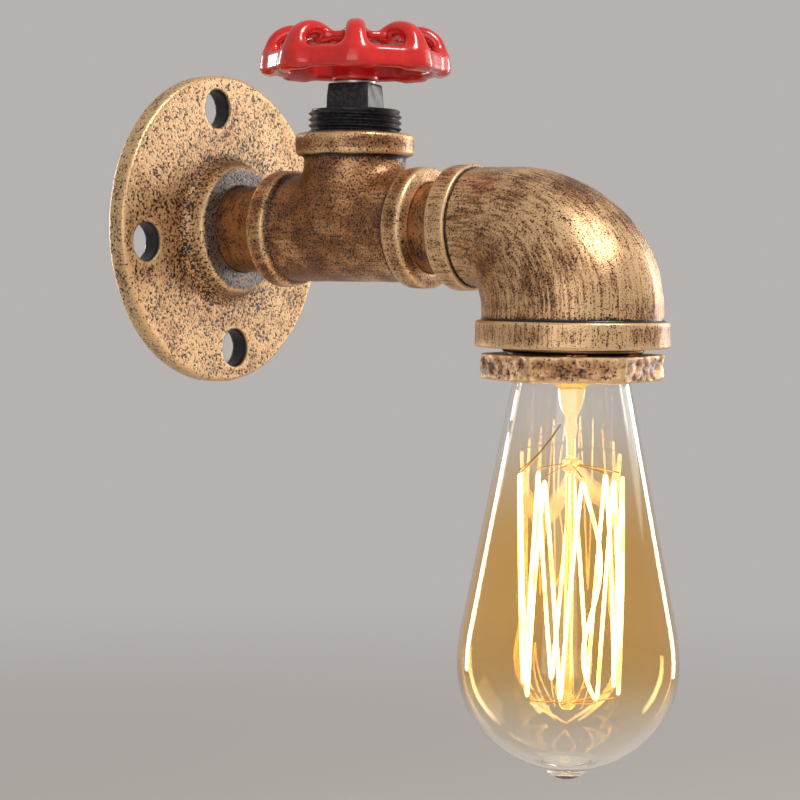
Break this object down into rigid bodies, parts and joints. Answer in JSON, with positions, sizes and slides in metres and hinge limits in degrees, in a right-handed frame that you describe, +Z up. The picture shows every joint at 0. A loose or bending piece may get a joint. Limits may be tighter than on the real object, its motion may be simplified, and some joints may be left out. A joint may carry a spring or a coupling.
{
  "type": "industrial pipe wall light",
  "caption": "Wall light of threaded pipe fittings: round floor flange, tee with a plug and handwheel, reducing elbow and hexagon bushing holding a pear-shaped filament lamp.",
  "frame": {"origin": "centre of the wall flange's back face, on the wall plane, on the pipe's axis", "axes": "+Z up; the pipe leaves the wall along -Y; +X to the right seen from the front"},
  "size_m": [0.0974, 0.1658, 0.2205],
  "materials": {
    "antique_brass": "antique brass dry-brushed over black sand-cast iron",
    "black_iron": "black oiled iron, slightly glossy",
    "red_enamel": "thick glossy red enamel on cast metal",
    "plated_steel": "zinc plated",
    "black_rubber": "moulded",
    "black_phenolic": "moulded phenolic",
    "vulcan_fibre": "red-brown fibre sheet",
    "contact_brass": "stamped sheet",
    "brown_insulation": "extruded silicone",
    "blue_insulation": "extruded silicone",
    "lamp_cap_brass": "rolled, bright",
    "black_glass": "vitrified",
    "solder": "soft solder",
    "clear_glass": "clear with a faint amber tint",
    "amber_glass": "clear, lit amber",
    "nickel_wire": "drawn wire",
    "molybdenum_wire": "drawn wire",
    "glowing_filament": "lit"
  },
  "bodies": {
    "root": {"wall_flange": "antique_brass", "rear_nipple": "antique_brass", "tee": "antique_brass", "front_nipple": "antique_brass", "reducing_elbow": "antique_brass", "hex_bushing": "antique_brass", "pipe_plug": "black_iron", "wheel_spindle": "plated_steel", "spindle_washer": "plated_steel", "spindle_cap_nut": "plated_steel", "earth_screw": "plated_steel", "earth_washer": "plated_steel", "terminal_screws": "plated_steel", "cable_bush": "black_rubber", "lampholder_body": "black_phenolic", "collar_washer": "vulcan_fibre", "lampholder_shell": "contact_brass", "lampholder_tongue": "contact_brass", "contact_rivets": "contact_brass", "lampholder_terminals": "contact_brass", "line_lead": "brown_insulation", "neutral_lead": "blue_insulation"},
    "wheel": {"handwheel": "red_enamel"},
    "bulb": {"bulb_cap": "lamp_cap_brass", "cap_insulator": "black_glass", "cap_contact": "solder", "bulb_glass": "clear_glass", "stem_glass": "amber_glass", "lead_wires": "nickel_wire", "upper_anchors": "molybdenum_wire", "lower_anchors": "molybdenum_wire", "filament": "glowing_filament"}
  },
  "joints": [
    {"name": "wheel_turn", "type": "hinge", "parent": "root", "child": "wheel", "pos_m": [0, -0.0568, 0.05], "axis": [0, 0, 1], "continuous": true},
    {"name": "bulb_out", "type": "slide", "parent": "root", "child": "bulb", "axis": [0, 0, -1], "range_m": [0, 0.032]}
  ]
}
